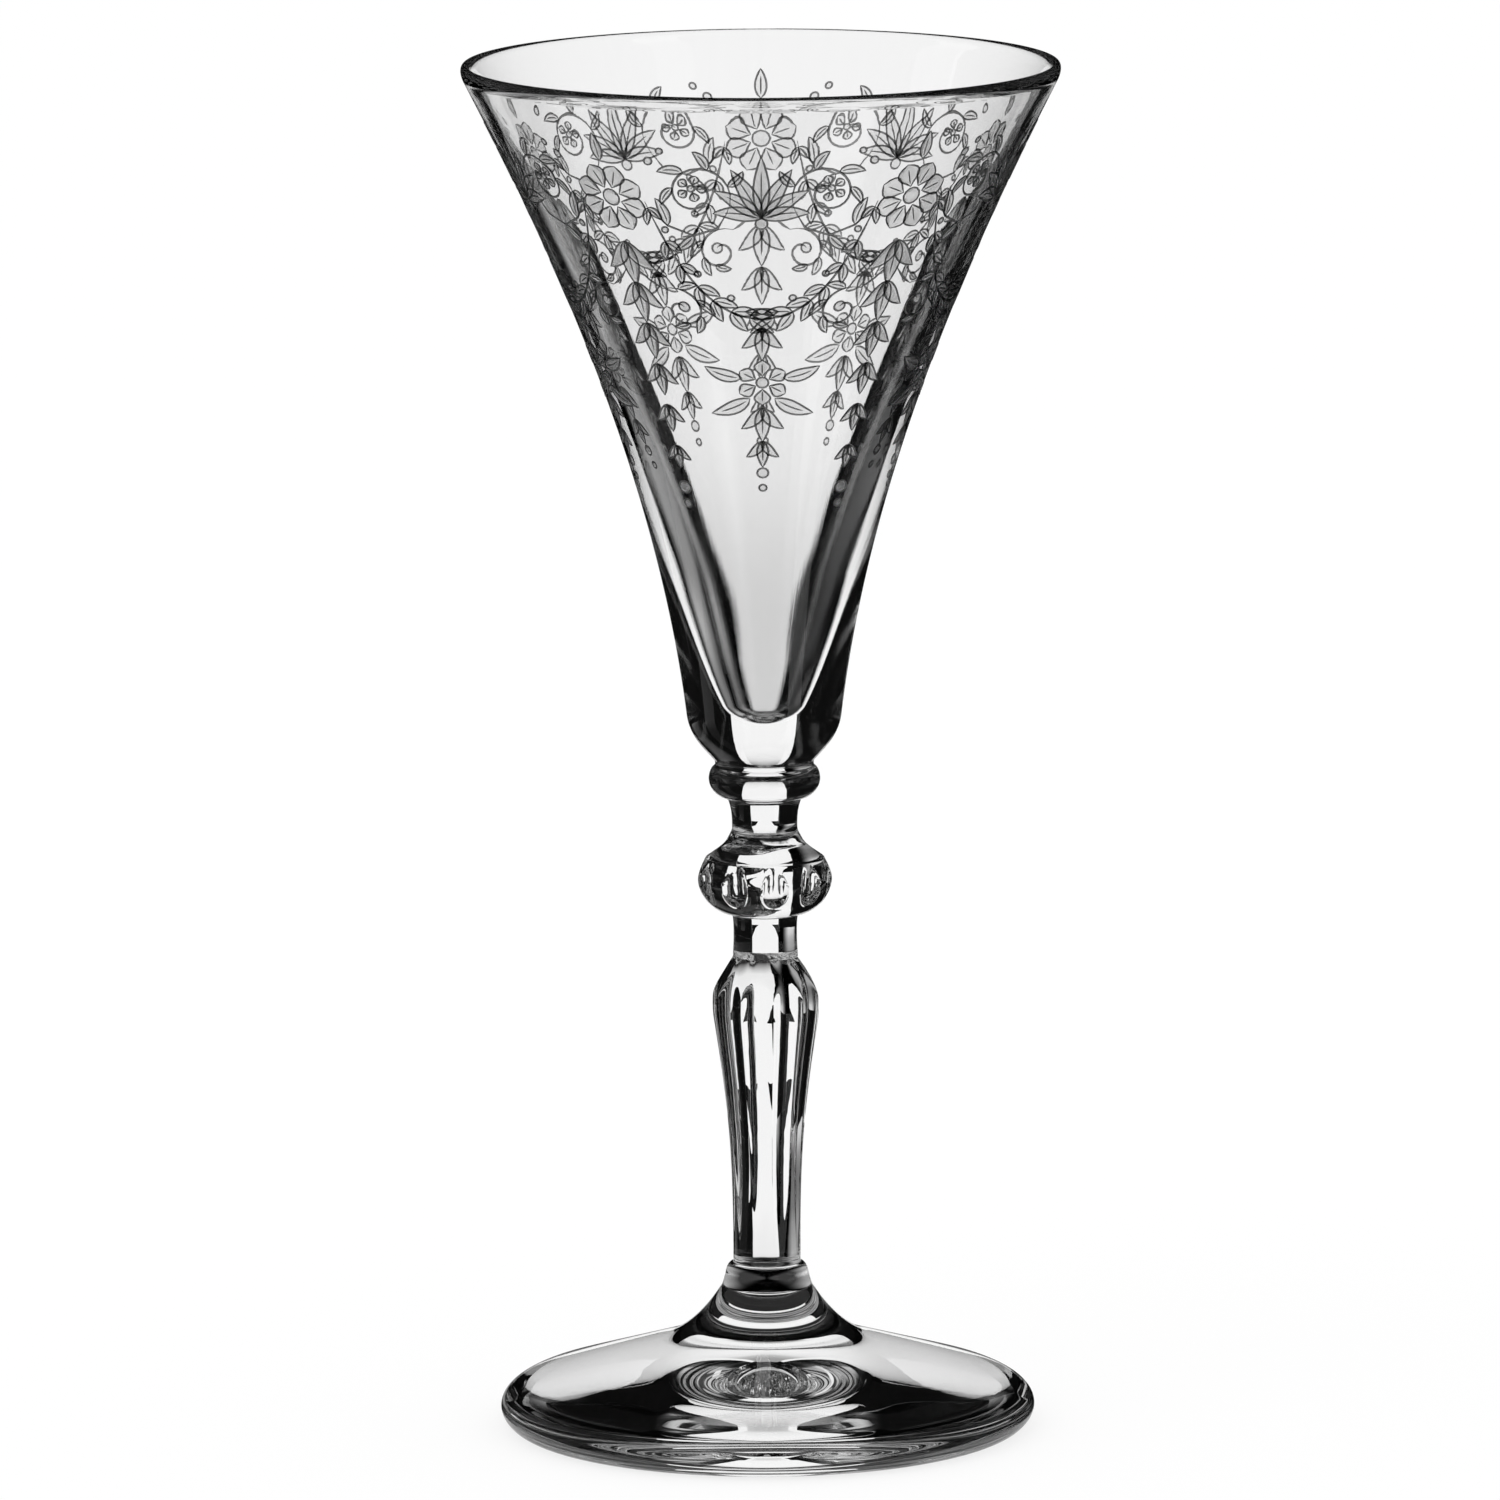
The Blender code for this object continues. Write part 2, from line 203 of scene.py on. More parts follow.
# Studio: the white floor and backdrop that the glass sees are cut to a few bright sectors by dark flags.
# Each flag is a sector between two bearings off the backdrop (degrees, +X positive), near and far distance,
# and the heights of its near and far edges (mm): a mat where the heights are equal, else a card.
FLOOR_SIDE = 12.0
FLOOR_DROP = 0.00005
FLOOR_PAINT = 0.9
FLOOR_GLOW_SHARE = 0.8
FLAG_PAINT = 0.004
FLAG_STEPS = 48
WORLD_LIGHT = 1.1
LAMP_POWER = 2.0
LAMP_SIZE = 0.8
LAMP_PLACE = (-0.6, -0.5, 1.4)
MOST_BOUNCES = 32
MOST_GLOSSY_BOUNCES = 16
MAT_HEIGHT = -0.02
LOW_MAT_HEIGHT = -0.03
MAT_START = 31.0
CARD_DISTANCE = 262.0
CARD_TOP = 700.0
BACKDROP_EDGE = 17.0
BESIDE_BEARING = -90.0
BEHIND_BEARING = 135.0
SIDE_SPREAD = 10.0
LEFT_EDGE = BESIDE_BEARING + SIDE_SPREAD
RIGHT_EDGE = BEHIND_BEARING - SIDE_SPREAD
FRONT_START = BEHIND_BEARING + SIDE_SPREAD
FRONT_END = BESIDE_BEARING - SIDE_SPREAD + 360.0
LEFT_CARD_DISTANCE = 390.0
STRIP_HALF_WIDTH = 80.0
STRIP_END = 560.0
UPPER_CARDS = ((0.0, 12.0), (BESIDE_BEARING, 10.0), (BEHIND_BEARING, 10.0))
UPPER_CARD_DISTANCE = 255.0
UPPER_CARD_BASE = 140.0
CEILING_RADIUS = 400.0
TENT_RADIUS = 250.0
TENT_HEIGHT = 900.0
FLAGS = (
    ("right_mat", BACKDROP_EDGE, RIGHT_EDGE, MAT_START, CARD_DISTANCE, MAT_HEIGHT, MAT_HEIGHT),
    ("right_card", BACKDROP_EDGE, RIGHT_EDGE, CARD_DISTANCE, CARD_DISTANCE, 0.0, CARD_TOP),
    ("front_mat", FRONT_START, FRONT_END, MAT_START, CARD_DISTANCE, MAT_HEIGHT, MAT_HEIGHT),
    ("front_card", FRONT_START, FRONT_END, CARD_DISTANCE, CARD_DISTANCE, 0.0, CARD_TOP),
    ("left_card", LEFT_EDGE, -BACKDROP_EDGE, LEFT_CARD_DISTANCE, LEFT_CARD_DISTANCE, 0.0, CARD_TOP),
    ("ceiling", 0.0, 360.0, 0.0, CEILING_RADIUS, CARD_TOP, CARD_TOP),
)
# Brightness of the graded cards by distance from the middle of the floor (mm)
STRIP_LIGHT = ((31, 0.02), (58, 0.03), (85, 0.90), (120, 1.0))
BESIDE_LIGHT = ((31, 0.05), (150, 0.15), (250, 0.50), (450, 0.75), (1000, 0.95))
BEHIND_LIGHT = ((31, 0.05), (80, 0.60), (150, 0.70), (400, 0.80), (1000, 0.95))
LEFT_LIGHT = (
    (31, 0.40), (90, 0.45), (125, 0.22), (160, 0.20), (215, 0.33), (290, 0.70), (390, 0.80),
)
UPPER_LIGHT = ((290, 1.0), (340, 0.88), (385, 0.55), (450, 0.40), (750, 0.30))
FOOT_LIGHT = ((0, 0.05), (8, 0.05), (14, 0.60), (31, 0.60))
# Where a graded card fades in or out: bearings either way off the backdrop, and the shares at the two
LEFT_FADES = ((24.0, 38.0, 0.0, 1.0), (52.0, 66.0, 1.0, 0.0))
FOOT_FADES = ((18.0, 42.0, 0.0, 1.0),)
# Graded mats: name, first and last bearing, height, brightness and fades
GRADED_MATS = (
    ("strip", -BACKDROP_EDGE, BACKDROP_EDGE, LOW_MAT_HEIGHT, STRIP_LIGHT, ()),
    ("beside", BESIDE_BEARING - SIDE_SPREAD, LEFT_EDGE, LOW_MAT_HEIGHT, BESIDE_LIGHT, ()),
    ("behind", RIGHT_EDGE, FRONT_START, LOW_MAT_HEIGHT, BEHIND_LIGHT, ()),
    ("left", LEFT_EDGE, -BACKDROP_EDGE, MAT_HEIGHT, LEFT_LIGHT, LEFT_FADES),
)


def level(node):
    """The height of a node's lower seal."""
    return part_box(node)[0].z / MM


def half_width(node):
    """Half the width of a node."""
    low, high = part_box(node)
    return (high.x - low.x) / 2 / MM


def bezier(start, start_handle, end_handle, end):
    """Points along a Bezier arc, without its first point."""
    t = (np.arange(1, ARC_STEPS + 1) / ARC_STEPS)[:, None]
    corners = [np.array(p, float) for p in (start, start_handle, end_handle, end)]
    weights = ((1 - t) ** 3, 3 * t * (1 - t) ** 2, 3 * t * t * (1 - t), t**3)
    return [tuple(p) for p in sum(w * c for w, c in zip(weights, corners))]


def level_to_upright(start, end):
    """A quarter round that leaves its start level and reaches its end upright."""
    middle = ((start[0] + end[0]) / 2, (start[1] + end[1]) / 2)
    return bezier(start, (middle[0], start[1]), (end[0], middle[1]), end)


def upright_to_level(start, end):
    """A quarter round that leaves its start upright and reaches its end level."""
    middle = ((start[0] + end[0]) / 2, (start[1] + end[1]) / 2)
    return bezier(start, (start[0], middle[1]), (middle[0], end[1]), end)


def cubic(start, start_value, start_slope, end, end_value, end_slope, at):
    """A smooth value between two ends that each have a value and a slope."""
    span = end - start
    t = (at - start) / span
    return (
        start_value * (1 + 2 * t) * (1 - t) ** 2
        + start_slope * span * t * (1 - t) ** 2
        + end_value * t * t * (3 - 2 * t)
        + end_slope * span * t * t * (t - 1)
    )


def flare(start, start_slope, end, end_slope):
    """Points (radius, height) whose radius runs smoothly with height, without the first point."""
    heights = start[1] + (end[1] - start[1]) * np.arange(1, FLARE_STEPS + 1) / FLARE_STEPS
    radii = cubic(start[1], start[0], start_slope, end[1], end[0], end_slope, heights)
    return list(zip(radii, heights))


def soft_min(a, b, width):
    """The lesser of two values, with the corner between them rounded over a width."""
    blend = np.clip(0.5 + 0.5 * (b - a) / width, 0.0, 1.0)
    return b + (a - b) * blend - width * blend * (1 - blend)


def raised(points, height):
    return [(radius, z + height) for radius, z in points]


def bowl_outline():
    """From the floor of the cavity, up the inner wall, over the lip and down to the seal."""
    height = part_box("bowl")[1].z / MM - level("bowl")
    lean = (math.pi / 2 - math.atan(CAVITY_TIP_FLARE)) * np.arange(TIP_STEPS + 1) / TIP_STEPS
    tip = list(
        zip(
            CAVITY_TIP_RADIUS * np.sin(lean),
            CAVITY_FLOOR + CAVITY_TIP_RADIUS * (1 - np.cos(lean)),
        )
    )
    lip_base = height - LIP_HEIGHT
    lip_outer = (RIM_RADIUS - BOWL_LIP_FLARE * LIP_HEIGHT / 2, lip_base)
    lip_inner = (lip_outer[0] - LIP_THICKNESS, lip_base)
    lip_top = (RIM_RADIUS - LIP_THICKNESS / 2, height)
    lower_wall = flare(tip[-1], CAVITY_TIP_FLARE, CAVITY_WAIST, CAVITY_WAIST_FLARE)
    upper_wall = flare(CAVITY_WAIST, CAVITY_WAIST_FLARE, lip_inner, BOWL_LIP_FLARE)
    lip_inside = bezier(
        lip_inner,
        (lip_inner[0] + BOWL_LIP_FLARE * LIP_HEIGHT / 2, lip_base + LIP_HEIGHT / 2),
        (lip_top[0] - LIP_THICKNESS / 3, height),
        lip_top,
    )
    lip_outside = bezier(
        lip_top,
        (lip_top[0] + LIP_THICKNESS / 2, height),
        (RIM_RADIUS, height - LIP_HEIGHT / 2),
        lip_outer,
    )
    seal = (BOWL_SEAL_RADIUS, 0.0)
    outer_wall = flare(lip_outer, BOWL_LIP_FLARE, BOWL_BASE, BOWL_BASE_FLARE)
    shoulder = bezier(
        BOWL_BASE,
        (BOWL_BASE[0] - BOWL_BASE_FLARE * BOWL_BASE[1] / 2, BOWL_BASE[1] / 2),
        ((3 * seal[0] + BOWL_BASE[0]) / 4, BOWL_BASE[1] / 5),
        seal,
    )
    return [*tip, *lower_wall, *upper_wall, *lip_inside, *lip_outside, *outer_wall, *shoulder]


def merese_outline():
    groove = (BOWL_SEAL_RADIUS, MERESE_GROOVE_HEIGHT)
    belt = (MERESE_RADIUS, MERESE_BELT_HEIGHT)
    base = (MERESE_SEAL_RADIUS, 0.0)
    return [groove, *level_to_upright(groove, belt), *upright_to_level(belt, base)]


def upper_neck_outline():
    top = (MERESE_SEAL_RADIUS, level("merese") - level("upper_neck"))
    waist = (UPPER_NECK_RADIUS, UPPER_NECK_WAIST_HEIGHT)
    base = (KNOP_TOP_SEAL_RADIUS, 0.0)
    upper = flare(top, UPPER_NECK_TOP_FLARE, waist, 0.0)
    return upper + flare(waist, 0.0, base, -UPPER_NECK_BASE_FLARE)


def knop_outline():
    top = (KNOP_TOP_SEAL_RADIUS, level("upper_neck") - level("knop"))
    belt = (KNOP_RADIUS, KNOP_BELT_HEIGHT)
    base = (KNOP_BASE_SEAL_RADIUS, 0.0)
    edge = KNOP_EDGE
    upper_belt = bezier(
        edge,
        ((2 * edge[0] + belt[0]) / 3, (3 * edge[1] + belt[1]) / 4),
        (belt[0], (edge[1] + 2 * belt[1]) / 3),
        belt,
    )
    cone = flare(top, -KNOP_NECK_FALL, edge, -KNOP_CONE_FALL)
    return cone + upper_belt + upright_to_level(belt, base)


def lower_neck_outline():
    length = level("knop") - level("lower_neck")
    top = (KNOP_BASE_SEAL_RADIUS, length)
    waist = (LOWER_NECK_RADIUS, length / 2)
    base = (BALUSTER_SEAL_RADIUS, 0.0)
    return flare(top, LOWER_NECK_TOP_FLARE, waist, 0.0) + flare(waist, 0.0, base, 0.0)


def baluster_outline():
    length = level("lower_neck") - level("fluted_baluster")
    top = (BALUSTER_SEAL_RADIUS, length)
    belly = (BELLY_RADIUS, BELLY_HEIGHT)
    belly_start = (BELLY_START_RADIUS, SHAFT_LENGTH + TAPER_LENGTH)
    taper = (TAPER_RADIUS, SHAFT_LENGTH)
    base = (COLLAR_SEAL_RADIUS, 0.0)
    points = flare(top, -BALUSTER_TOP_FALL, belly, 0.0)
    points += flare(belly, 0.0, belly_start, BELLY_FLARE)
    points += flare(belly_start, BELLY_FLARE, taper, TAPER_FLARE)
    return points + flare(taper, TAPER_FLARE, base, 0.0)


def collar_outline():
    top = (COLLAR_SEAL_RADIUS, level("fluted_baluster") - level("base_collar"))
    base = (FOOT_SEAL_RADIUS, 0.0)
    return [*level_to_upright(top, COLLAR_SHOULDER), base]


def foot_outline():
    """From the seal over the dome to the edge, under it to the rest ring, and into the hollow."""
    rim = half_width("foot")
    seal = (FOOT_SEAL_RADIUS, level("base_collar"))
    widest = (rim, FOOT_EDGE_HEIGHT)
    flat = [(height, radius) for radius, height in (seal, FOOT_DOME, FOOT_SHOULDER)]
    neck = flare(flat[0], -FOOT_DOME_FALL, flat[1], -FOOT_CONE_FALL)
    cone = flare(flat[1], -FOOT_CONE_FALL, flat[2], -FOOT_CONE_FALL)
    reach = (rim - FOOT_SHOULDER[0]) / 2
    upper_edge = bezier(
        FOOT_SHOULDER,
        (FOOT_SHOULDER[0] + reach, FOOT_SHOULDER[1] - reach * FOOT_CONE_FALL),
        (rim, (FOOT_EDGE_HEIGHT + FOOT_SHOULDER[1]) / 2),
        widest,
    )
    lower_edge = upright_to_level(widest, (REST_RING_OUTER_RADIUS, 0.0))
    out = 1 - np.arange(HOLLOW_STEPS + 1) / HOLLOW_STEPS
    rise = UNDERSIDE_HOLLOW * (1 - out**UNDERSIDE_HOLLOW_POWER)
    hollow = zip(REST_RING_INNER_RADIUS * out, rise)
    return [(r, z) for z, r in neck + cone] + upper_edge + lower_edge + list(hollow)


STACK = (
    ("bowl", bowl_outline),
    ("merese", merese_outline),
    ("upper_neck", upper_neck_outline),
    ("knop", knop_outline),
    ("lower_neck", lower_neck_outline),
    ("fluted_baluster", baluster_outline),
    ("base_collar", collar_outline),
    ("foot", foot_outline),
)


def whole_outline():
    """The outline of the whole glass with its corners melted round, cut at the seals, one for each bit."""
    points = []
    ends = []
    for node, outline in STACK:
        points += raised(outline(), level(node))
        ends.append(len(points) - 1)
    points = np.array(points)
    along = np.concatenate([[0.0], np.cumsum(np.hypot(*np.diff(points, axis=0).T))])
    samples = np.linspace(0.0, along[-1], int(along[-1] / SAMPLE_SPACING))
    fine = np.stack([np.interp(samples, along, points[:, k]) for k in (0, 1)], axis=1)
    reach = int(4 * EDGE_SOFTNESS / SAMPLE_SPACING)
    kernel = np.exp(-0.5 * (np.arange(-reach, reach + 1) * SAMPLE_SPACING / EDGE_SOFTNESS) ** 2)
    mirror = np.array([-1.0, 1.0])
    padded = np.concatenate([fine[reach:0:-1] * mirror, fine, fine[-2 : -reach - 2 : -1] * mirror])
    soft = np.stack(
        [np.convolve(padded[:, k], kernel / kernel.sum(), "valid") for k in (0, 1)], axis=1
    )
    soft[[0, -1], 0] = 0.0
    cuts = [0] + [int(np.argmin(abs(samples - along[end]))) for end in ends[:-1]] + [len(soft) - 1]
    return {
        node: thinned(soft[first : last + 1])
        for (node, _), first, last in zip(STACK, cuts, cuts[1:])
    }


def thinned(points):
    """Fewer points of a fine outline: a new one wherever it has turned or run on far enough."""
    steps = np.diff(points, axis=0)
    headings = np.unwrap(np.arctan2(steps[:, 1], steps[:, 0]))
    lengths = np.hypot(steps[:, 0], steps[:, 1])
    kept = [0]
    run = 0.0
    turned_by = 0.0
    for index in range(1, len(points) - 1):
        run += lengths[index - 1]
        turned_by += abs(headings[index] - headings[index - 1])
        if run >= MOST_RUN or turned_by >= MOST_TURN:
            kept.append(index)
            run = 0.0
            turned_by = 0.0
    return points[kept + [len(points) - 1]]


def flute_floor(height, body):
    """The distance from the axis to the deepest line of a flute, at heights above the baluster's seal."""
    share = np.clip((height - FLUTE_START_HEIGHT) / (BELLY_HEIGHT - FLUTE_START_HEIGHT), 0.0, 1.0)
    over_top = cubic(
        BELLY_HEIGHT,
        BELLY_RADIUS - FLUTE_DEPTH,
        0.0,
        FLUTE_TOP_HEIGHT,
        FLUTE_TOP_FLOOR_RADIUS,
        -BALUSTER_TOP_FALL,
        height,
    )
    return np.where(height <= BELLY_HEIGHT, body - FLUTE_DEPTH * share, over_top)


def fluted(radius, height, angle):
    """The baluster's radius with its round flutes cut in."""
    pitch = 2 * math.pi / FLUTE_COUNT
    aside = (angle - CUTS_TURN) % pitch - pitch / 2
    centre = flute_floor(height, radius) + FLUTE_CUT_RADIUS
    reach = np.maximum(FLUTE_CUT_RADIUS**2 - (centre * np.sin(aside)) ** 2, 0.0)
    return soft_min(radius, centre * np.cos(aside) - np.sqrt(reach), FLUTE_SOFTNESS)


def with_printies(radius, height, angle):
    """The knop's radius with its oval cuts."""
    pitch = 2 * math.pi / PRINTY_COUNT
    aside = (angle - CUTS_TURN + pitch / 2) % pitch - pitch / 2
    centre = KNOP_RADIUS - PRINTY_DEPTH + PRINTY_CUT_RADIUS
    above = height - PRINTY_HEIGHT
    reach = PRINTY_CUT_RADIUS**2 * (1 - (above / PRINTY_CUT_REACH) ** 2) - (centre * np.sin(aside)) ** 2
    cut = np.where(reach > 0, centre * np.cos(aside) - np.sqrt(np.maximum(reach, 0.0)), 2 * KNOP_RADIUS)
    return soft_min(radius, cut, PRINTY_SOFTNESS)


def glass_mesh(name, outline, cut=None, steps=ROUND_STEPS, turn=FRONT, lined=False):
    """A closed mesh turned from an outline, with its seals in the second material slot.

    If it is lined, the wall before its highest point is in the third.
    """
    angles = turn + 2 * math.pi * np.arange(steps) / steps
    points = []
    rings = []
    for radius, height in outline:
        if radius == 0.0:
            rings.append([len(points)])
            points.append((0.0, 0.0, height * MM))
            continue
        radii = np.full(steps, radius)
        if cut:
            radii = cut(radii, height - level(name), angles)
        rings.append(list(range(len(points), len(points) + steps)))
        points += [
            (r * math.cos(a) * MM, r * math.sin(a) * MM, height * MM) for r, a in zip(radii, angles)
        ]
    faces = []
    for upper, lower in zip(rings, rings[1:]):
        for step in range(steps):
            beside = (step + 1) % steps
            if len(upper) == 1:
                faces.append((upper[0], lower[step], lower[beside]))
            elif len(lower) == 1:
                faces.append((upper[step], lower[0], upper[beside]))
            else:
                faces.append((upper[step], lower[step], lower[beside], upper[beside]))
    seals = [ring for ring in (rings[0], rings[-1][::-1]) if len(ring) > 1]
    mesh = bpy.data.meshes.new(name)
    mesh.from_pydata(points, [], faces + seals)
    mesh.shade_smooth()
    for index in range(len(faces), len(faces) + len(seals)):
        mesh.polygons[index].material_index = 1
    if lined:
        for index in range(steps * int(np.argmax(outline[:, 1]))):
            mesh.polygons[index].material_index = 2
    mesh.set_sharp_from_angle(angle=SHARP_ANGLE)
    return mesh


class Strokes:
    """Shallow closed strokes of etched glass, gathered into one mesh."""

    def __init__(self, relief):
        self.relief = relief
        self.points = []
        self.faces = []

    def add(self, centre, normals, half_widths):
        """One stroke along a line on the bowl, with a half-width at each point of it."""
        along = np.gradient(centre, axis=0)
        across = np.cross(normals, along)
        across /= np.linalg.norm(across, axis=1)[:, None]
        flat = STROKE_FLAT_SHARE
        section = ((-1.0, STROKE_ROOT), (-flat, self.relief), (flat, self.relief), (1.0, STROKE_ROOT))
        first = len(self.points)
        for point, normal, side, half in zip(centre, normals, across, half_widths):
            self.points += [point + side * half * share + normal * rise for share, rise in section]
        corners = len(section)
        last = first + (len(centre) - 1) * corners
        self.faces.append(tuple(first + k for k in range(corners)))
        self.faces.append(tuple(last + k for k in reversed(range(corners))))
        for start in range(first, last, corners):
            for k in range(corners):
                beside = (k + 1) % corners
                self.faces.append(
                    (start + k, start + corners + k, start + corners + beside, start + beside)
                )

    def piece(self, name, material):
        mesh = bpy.data.meshes.new(name)
        mesh.from_pydata([p * MM for p in self.points], [], self.faces)
        mesh.materials.append(material)
        piece = bpy.data.objects.new(name, mesh)
        bpy.context.scene.collection.objects.link(piece)
        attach(piece, "root")


class Frieze:
    """Draws motifs in flat millimetres (across, up) around a place, and lays them on the bowl's wall."""

    def __init__(self, outline):
        top = int(np.argmax(outline[:, 1]))
        self.heights = outline[top:, 1][::-1]
        self.radii = outline[top:, 0][::-1]
        self.lines = Strokes(LINE_RELIEF)
        self.fills = Strokes(FILL_RELIEF)
        self.angle = FRONT
        self.hand = 1

    def on_wall(self, flat):
        """Points of the wall and their normals, for flat points about the present place."""
        lean = math.atan(BOWL_LIP_FLARE)
        flat = flat * FRIEZE_SCALE
        heights = FRIEZE_LEVEL + flat[:, 1] * math.cos(lean)
        radii = np.interp(heights, self.heights, self.radii)
        above = np.interp(heights + SLOPE_REACH, self.heights, self.radii)
        below = np.interp(heights - SLOPE_REACH, self.heights, self.radii)
        slopes = (above - below) / (2 * SLOPE_REACH)
        angles = self.angle + self.hand * flat[:, 0] / radii
        points = np.stack([radii * np.cos(angles), radii * np.sin(angles), heights], axis=1)
        normals = np.stack([np.cos(angles), np.sin(angles), -slopes], axis=1)
        return points, normals / np.linalg.norm(normals, axis=1)[:, None]

    def stroke(self, kind, flat, widths):
        points, normals = self.on_wall(np.asarray(flat, float))
        kind.add(points, normals, np.asarray(widths) / 2)

    def line(self, flat, width=LINE_WIDTH):
        """A line of even width with fine ends."""
        share = np.linspace(0.0, 1.0, len(flat))
        self.stroke(self.lines, flat, width * np.clip(8 * np.minimum(share, 1 - share), 0.3, 1.0))

    def leaf(self, base, heading, length, width, bend=0.0, rib=True, fullness=0.8):
        """A leaf: a frosted body, an etched outline and a midrib."""
        share = np.linspace(0.0, 1.0, 9)
        turn = np.radians(heading + bend * share)
        step = np.stack([np.cos(turn), np.sin(turn)], axis=1) * length / (len(share) - 1)
        middle = np.array(base, float) + np.concatenate([[[0.0, 0.0]], np.cumsum(step, axis=0)[:-1]])
        breadth = width * np.sin(np.pi * share**fullness) ** 0.9
        aside = np.stack([-np.sin(turn), np.cos(turn)], axis=1) * breadth[:, None] / 2
        self.stroke(self.fills, middle, FRIEZE_SCALE * np.maximum(breadth, 0.05))
        self.line(middle + aside, RIB_WIDTH * 1.3)
        self.line(middle - aside, RIB_WIDTH * 1.3)
        if rib:
            self.line(middle[1:-2], RIB_WIDTH)
        return middle

    def bead(self, centre, radius):
        """A ring with a frosted middle."""
        turn = np.linspace(0.0, 2 * np.pi, 13)
        ring = np.array(centre) + radius * np.stack([np.cos(turn), np.sin(turn)], axis=1)
        self.stroke(self.lines, ring, np.full(len(ring), LINE_WIDTH * 0.8))
        share = np.linspace(-0.92, 0.92, 7)
        across = np.array(centre) + radius * np.stack([share, np.zeros(7)], axis=1)
        self.stroke(self.fills, across, FRIEZE_SCALE * 2 * radius * np.sqrt(1 - share**2) * 0.85)

    def spiral(self, centre, outer, inner, start, sweep):
        """A scroll that winds in from its outer radius. Angles are in degrees. Gives its points back."""
        share = np.linspace(0.0, 1.0, max(10, int(abs(sweep) / 16)))
        turn = np.radians(start + sweep * share)
        reach = outer + (inner - outer) * share**0.8
        flat = np.array(centre) + reach[:, None] * np.stack([np.cos(turn), np.sin(turn)], axis=1)
        self.line(flat)
        return flat

    def rosette(self, centre, radius, petals):
        self.bead(centre, radius * 0.24)
        for petal in range(petals):
            heading = 360.0 * petal / petals + 180.0 / petals
            turn = math.radians(heading)
            base = (
                centre[0] + 0.30 * radius * math.cos(turn),
                centre[1] + 0.30 * radius * math.sin(turn),
            )
            self.leaf(base, heading, radius * 0.72, radius * 0.62, fullness=1.3)

    def husk(self, top, size):
        """A bellflower: a long middle leaf between two that curl out."""
        self.leaf(top, -90.0, size * 1.15, size * 0.42)
        self.leaf(top, -68.0, size * 0.95, size * 0.34, bend=42.0, rib=False)
        self.leaf(top, -112.0, size * 0.95, size * 0.34, bend=-42.0, rib=False)

    def palmette(self, base, size):
        """A fan of seven leaves over a pair of small scrolls."""
        for step in range(-3, 4):
            length = size * (1.0 - 0.11 * abs(step))
            self.leaf(base, 90.0 - 24.0 * step, length, size * 0.22, bend=-9.0 * step)
        self.bead((base[0], base[1] - 0.5), 0.45)

    def garland(self, half_span, high, low, pairs):
        """Half of a hanging garland: pairs of laurel leaves along a sagging stem, larger to its middle."""
        share = np.linspace(0.0, 1.0, 40)
        stem = np.stack([half_span * (1 - share), low + (high - low) * (1 - share) ** 2.1], axis=1)
        self.line(stem)
        for pair in range(pairs):
            at = (pair + 0.3) / pairs
            index = int(at * (len(stem) - 1))
            ahead = stem[min(index + 1, len(stem) - 1)] - stem[max(index - 1, 0)]
            heading = math.degrees(math.atan2(ahead[1], ahead[0]))
            size = 1.5 + 0.8 * at
            self.leaf(stem[index], heading + 34.0, size, 0.40 * size, bend=-20.0)
            self.leaf(stem[index], heading - 34.0, size, 0.40 * size, bend=20.0)
            if pair % 2:
                self.bead(stem[index] + np.array([0.0, 0.95 + 0.35 * at]), 0.26)

    def scroll_branch(self):
        """Half of the scrollwork over a garland: a branch that winds into a leafy scroll round a flower."""
        scroll = self.spiral((4.9, 3.3), 2.9, 0.5, 215.0, -520.0)
        for index, heading, size in ((3, 150.0, 1.8), (6, 75.0, 2.0), (9, 20.0, 2.1), (12, -40.0, 1.8)):
            self.leaf(scroll[index], heading, size, 0.36 * size, bend=-46.0)
        self.rosette(scroll[-1], 1.15, 5)
        self.line(np.array([scroll[0], (3.2, 0.3), (5.0, -0.4), (7.0, 0.4), (8.3, 1.6)]))
        self.leaf((7.0, 0.4), 80.0, 2.6, 0.8, bend=-30.0)
        self.leaf((5.0, -0.4), -60.0, 2.0, 0.7, bend=40.0)
        self.bead((8.5, 6.0), 0.32)
        self.bead((7.6, 6.9), 0.26)

    def bouquet(self):
        """A flower between leaves, under the middle of a garland, with a short drop."""
        self.rosette((0.0, -13.2), 1.9, 6)
        for hand in (1, -1):
            self.hand = hand
            self.leaf((0.9, -14.6), -38.0, 3.2, 1.1, bend=30.0)
            self.leaf((1.5, -12.8), 4.0, 3.0, 1.0, bend=34.0)
        self.hand = 1
        self.husk((0.0, -15.4), 2.6)
        self.husk((0.0, -18.3), 2.0)
        self.bead((0.0, -21.1), 0.42)
        self.bead((0.0, -22.4), 0.28)

    def side_sprig(self):
        """A curling sprig beside a long drop."""
        curl = self.spiral((-3.3, -7.0), 2.1, 0.4, 60.0, 430.0)
        for index, heading, size in ((2, 150.0, 1.7), (5, 215.0, 1.8), (8, 275.0, 1.7), (11, 330.0, 1.4)):
            self.leaf(curl[index], heading, size, 0.38 * size, bend=38.0)
        self.bead(curl[-1], 0.42)
        self.line(np.array([(-0.5, -3.6), (-1.2, -4.4), (-1.8, -4.9), curl[0]]))

